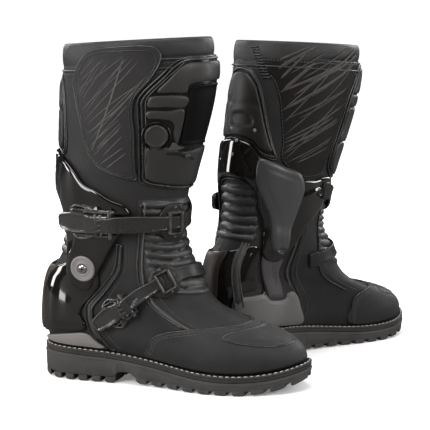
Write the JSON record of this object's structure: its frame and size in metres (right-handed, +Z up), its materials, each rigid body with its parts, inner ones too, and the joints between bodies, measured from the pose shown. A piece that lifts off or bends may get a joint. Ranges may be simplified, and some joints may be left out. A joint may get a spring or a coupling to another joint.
{
  "type": "riding boots",
  "caption": "Pair of tall motorcycle touring boots with hinged ankle braces, shin and heel shells and over-centre buckles, standing side by side with the toes turned outwards.",
  "frame": {"origin": "on the floor, at the centre of the pair's bounding box", "axes": "+Z up, the soles stand on Z = 0; +Y points away from the side where the right boot's buckles face; the right boot's toe points along +X turned 18.2 degrees towards -Y, and the left boot's toe 42 degrees towards +Y"},
  "size_m": [0.4201, 0.3502, 0.37],
  "materials": {
    "leather": "matt black full-grain leather",
    "bellows_leather": "soft matt black ribbed leather",
    "sole_rubber": "matt moulded rubber",
    "gloss_shell": "glossy black moulded plastic",
    "matt_shell": "satin black moulded plastic",
    "grey_shell": "dark grey moulded plastic",
    "pivot_washer": "dark grey washer with a steel cross-head screw",
    "steel": "plain steel",
    "buckle": "dark satin-coated alloy",
    "strap": "ribbed black plastic strap",
    "receiver": "black strap with a moulded catch",
    "lining": "black mesh lining"
  },
  "bodies": {
    "foot_R": {"outsole_R": "sole_rubber", "midsole_R": "sole_rubber", "footbed_R": "lining", "shank_R": "steel", "foot_upper_R": "leather", "ankle_sleeve_R": "lining", "front_bellows_R": "bellows_leather", "rear_bellows_R": "bellows_leather", "toe_cap_R": "leather", "shift_pad_R": "sole_rubber", "heel_counter_R": "gloss_shell", "heel_cup_R": "grey_shell", "pivot_screw_outer_R": "pivot_washer", "pivot_screw_inner_R": "pivot_washer", "lower_buckle_base_R": "buckle", "lower_receiver_R": "receiver"},
    "shaft_R": {"shaft_leather_R": "leather", "collar_R": "leather", "shin_plate_R": "matt_shell", "shin_disc_R": "grey_shell", "calf_guard_R": "matt_shell", "heat_guard_R": "leather", "ankle_brace_R": "gloss_shell", "ankle_pad_R": "grey_shell", "upper_buckle_base_R": "buckle", "upper_receiver_R": "receiver"},
    "upper_lever_R": {"upper_buckle_lever_R": "buckle"},
    "upper_strap_body_R": {"upper_strap_R": "strap"},
    "lower_lever_R": {"lower_buckle_lever_R": "buckle"},
    "lower_strap_body_R": {"lower_strap_R": "strap"},
    "foot_L": {"outsole_L": "sole_rubber", "midsole_L": "sole_rubber", "footbed_L": "lining", "shank_L": "steel", "foot_upper_L": "leather", "ankle_sleeve_L": "lining", "front_bellows_L": "bellows_leather", "rear_bellows_L": "bellows_leather", "toe_cap_L": "leather", "shift_pad_L": "sole_rubber", "heel_counter_L": "gloss_shell", "heel_cup_L": "grey_shell", "pivot_screw_outer_L": "pivot_washer", "pivot_screw_inner_L": "pivot_washer", "lower_buckle_base_L": "buckle", "lower_receiver_L": "receiver"},
    "shaft_L": {"shaft_leather_L": "leather", "collar_L": "leather", "shin_plate_L": "matt_shell", "shin_disc_L": "grey_shell", "calf_guard_L": "matt_shell", "heat_guard_L": "leather", "ankle_brace_L": "gloss_shell", "ankle_pad_L": "grey_shell", "upper_buckle_base_L": "buckle", "upper_receiver_L": "receiver"},
    "upper_lever_L": {"upper_buckle_lever_L": "buckle"},
    "upper_strap_body_L": {"upper_strap_L": "strap"},
    "lower_lever_L": {"lower_buckle_lever_L": "buckle"},
    "lower_strap_body_L": {"lower_strap_L": "strap"}
  },
  "joints": [
    {"name": "ankle_flex_R", "type": "hinge", "parent": "foot_R", "child": "shaft_R", "pos_m": [-0.15947, -0.1111, 0.12567], "axis": [0.3475, 0.9302, 0.1184], "range_deg": [-5, 9], "deforming": ["ankle_sleeve_R", "front_bellows_R", "rear_bellows_R"]},
    {"name": "upper_buckle_open_R", "type": "hinge", "parent": "shaft_R", "child": "upper_lever_R", "pos_m": [-0.13167, -0.14121, 0.1751], "axis": [-0.0343, -0.0872, 0.9956], "range_deg": [0, 110]},
    {"name": "upper_strap_swing_R", "type": "hinge", "parent": "upper_lever_R", "child": "upper_strap_body_R", "pos_m": [-0.14326, -0.14153, 0.17453], "axis": [-0.0343, -0.0872, 0.9956], "range_deg": [-110, 0]},
    {"name": "lower_buckle_open_R", "type": "hinge", "parent": "foot_R", "child": "lower_lever_R", "pos_m": [-0.11478, -0.13369, 0.08783], "axis": [-0.6014, 0.1126, 0.791], "range_deg": [0, 110]},
    {"name": "lower_strap_swing_R", "type": "hinge", "parent": "lower_lever_R", "child": "lower_strap_body_R", "pos_m": [-0.12147, -0.13367, 0.08323], "axis": [-0.6014, 0.1126, 0.791], "range_deg": [-110, 0]},
    {"name": "left_boot_lift", "type": "slide", "parent": "foot_R", "child": "foot_L", "axis": [0, 0, 1], "range_m": [0, 0.12]},
    {"name": "ankle_flex_L", "type": "hinge", "parent": "foot_L", "child": "shaft_L", "pos_m": [-0.00554, 0.03837, 0.12565], "axis": [-0.688, 0.716, -0.118], "range_deg": [-5, 8], "deforming": ["ankle_sleeve_L", "front_bellows_L", "rear_bellows_L"]},
    {"name": "upper_buckle_open_L", "type": "hinge", "parent": "shaft_L", "child": "upper_lever_L", "pos_m": [0.01174, 0.08073, 0.17065], "axis": [-0.0172, -0.1414, -0.9898], "range_deg": [0, 110]},
    {"name": "upper_strap_swing_L", "type": "hinge", "parent": "upper_lever_L", "child": "upper_strap_body_L", "pos_m": [0.00101, 0.07634, 0.17132], "axis": [-0.0172, -0.1414, -0.9898], "range_deg": [-110, 0]},
    {"name": "lower_buckle_open_L", "type": "hinge", "parent": "foot_L", "child": "lower_lever_L", "pos_m": [0.02623, 0.07706, 0.08783], "axis": [0.5048, 0.3457, -0.791], "range_deg": [0, 110]},
    {"name": "lower_strap_swing_L", "type": "hinge", "parent": "lower_lever_L", "child": "lower_strap_body_L", "pos_m": [0.02011, 0.07434, 0.08323], "axis": [0.5048, 0.3457, -0.791], "range_deg": [-110, 0]}
  ],
  "couplings": [
    {"joint": "upper_strap_swing_R", "follows": "upper_buckle_open_R", "ratio": -1},
    {"joint": "lower_strap_swing_R", "follows": "lower_buckle_open_R", "ratio": -1},
    {"joint": "upper_strap_swing_L", "follows": "upper_buckle_open_L", "ratio": -1},
    {"joint": "lower_strap_swing_L", "follows": "lower_buckle_open_L", "ratio": -1}
  ]
}
